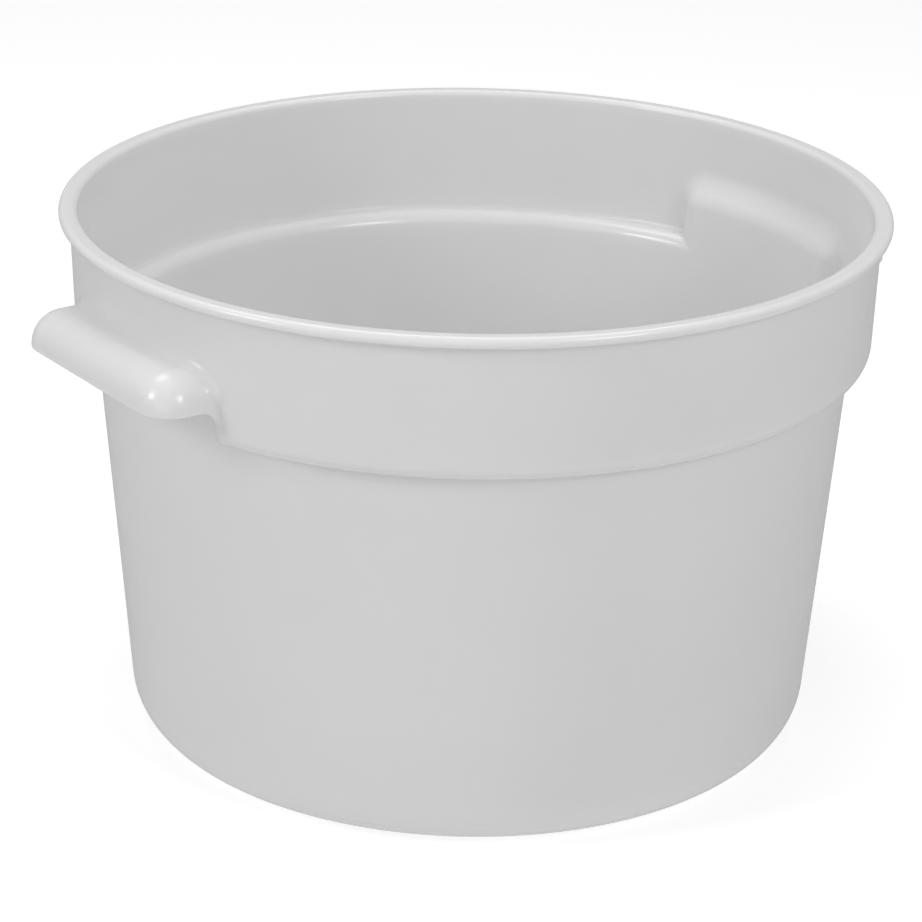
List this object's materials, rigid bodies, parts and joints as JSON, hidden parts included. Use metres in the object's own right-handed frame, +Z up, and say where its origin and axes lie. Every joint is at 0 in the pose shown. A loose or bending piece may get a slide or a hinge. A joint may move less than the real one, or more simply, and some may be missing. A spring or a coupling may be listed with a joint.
{
  "type": "round food storage container",
  "caption": "Open round food storage container with a stepped collar, a beaded rim and two moulded lift handles with finger pockets.",
  "frame": {"origin": "centre of the ring that the container stands on, at table height", "axes": "+Z up along the container's axis, X through the two handles, Y across them"},
  "size_m": [0.3336, 0.31, 0.2065],
  "materials": {
    "polyethylene": "semi-gloss"
  },
  "bodies": {
    "root": {"tub_floor": "polyethylene", "bottom_corner": "polyethylene", "side_wall": "polyethylene", "shoulder": "polyethylene", "collar": "polyethylene", "rim_bead": "polyethylene", "handle_left": "polyethylene", "handle_right": "polyethylene"}
  },
  "joints": []
}
